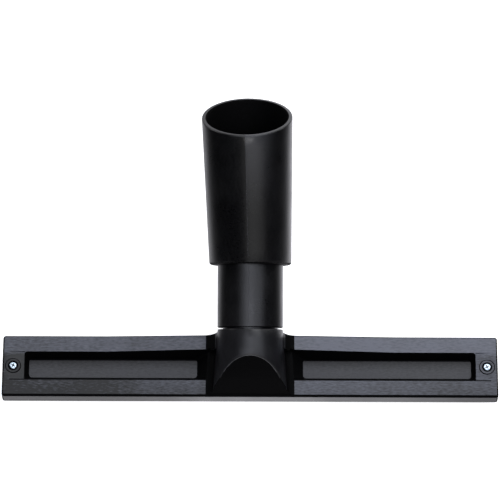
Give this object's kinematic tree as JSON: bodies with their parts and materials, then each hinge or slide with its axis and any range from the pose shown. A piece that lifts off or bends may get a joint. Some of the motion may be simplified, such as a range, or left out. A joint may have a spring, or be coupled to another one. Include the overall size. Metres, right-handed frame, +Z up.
{
  "type": "vacuum cleaner floor nozzle",
  "caption": "Wide black floor nozzle for a wet and dry vacuum, with a swivelling bent wand socket, a brush strip, a rubber lip and rollers.",
  "frame": {"origin": "centre of the head's footprint, on the floor that the brush, lip and rollers touch", "axes": "+X along the head to the right seen from the front, +Y back towards the wand, +Z up"},
  "size_m": [0.36, 0.1913, 0.1627],
  "materials": {
    "housing_plastic": "black polypropylene, fine spark-eroded grain, satin",
    "elbow_plastic": "black polypropylene, fine grain with a faint mould seam",
    "base_plastic": "black polypropylene, matt, scuffed on the lowest faces",
    "carrier_plastic": "extruded dark grey plastic with fine lengthwise drawing lines",
    "clip_plastic": "natural acetal, smooth",
    "roller_plastic": "grey polyamide, satin, lightly worn tread",
    "bristle_nylon": "black nylon filaments with a soft sheen",
    "lip_rubber": "matt black rubber",
    "seal_rubber": "smooth black rubber",
    "screw_zinc": "bright blue-passivated zinc",
    "axle_steel": "ground steel pin"
  },
  "bodies": {
    "head": {"head_housing": "housing_plastic", "front_strip_rail": "base_plastic", "rear_strip_rail": "base_plastic", "left_end_block": "base_plastic", "right_end_block": "base_plastic", "left_outer_slot_tie": "base_plastic", "left_inner_slot_tie": "base_plastic", "right_inner_slot_tie": "base_plastic", "right_outer_slot_tie": "base_plastic", "front_brush_carrier": "carrier_plastic", "front_bristles": "bristle_nylon", "rear_lip_carrier": "carrier_plastic", "rear_rubber_lip": "lip_rubber", "left_end_screw": "screw_zinc", "right_end_screw": "screw_zinc", "left_roller_axle": "axle_steel", "right_roller_axle": "axle_steel"},
    "elbow": {"swivel_elbow": "elbow_plastic", "swivel_retaining_ring": "clip_plastic", "swivel_seal_ring": "seal_rubber"},
    "left_roller": {"left_roller": "roller_plastic"},
    "right_roller": {"right_roller": "roller_plastic"}
  },
  "joints": [
    {"name": "elbow_swivel", "type": "hinge", "parent": "head", "child": "elbow", "pos_m": [0, 0.0233, 0.0355], "axis": [0, 0.9397, 0.342], "continuous": true},
    {"name": "left_roller_spin", "type": "hinge", "parent": "head", "child": "left_roller", "pos_m": [-0.159, 0, 0.006], "axis": [1, 0, 0], "continuous": true},
    {"name": "right_roller_spin", "type": "hinge", "parent": "head", "child": "right_roller", "pos_m": [0.159, 0, 0.006], "axis": [1, 0, 0], "continuous": true}
  ]
}
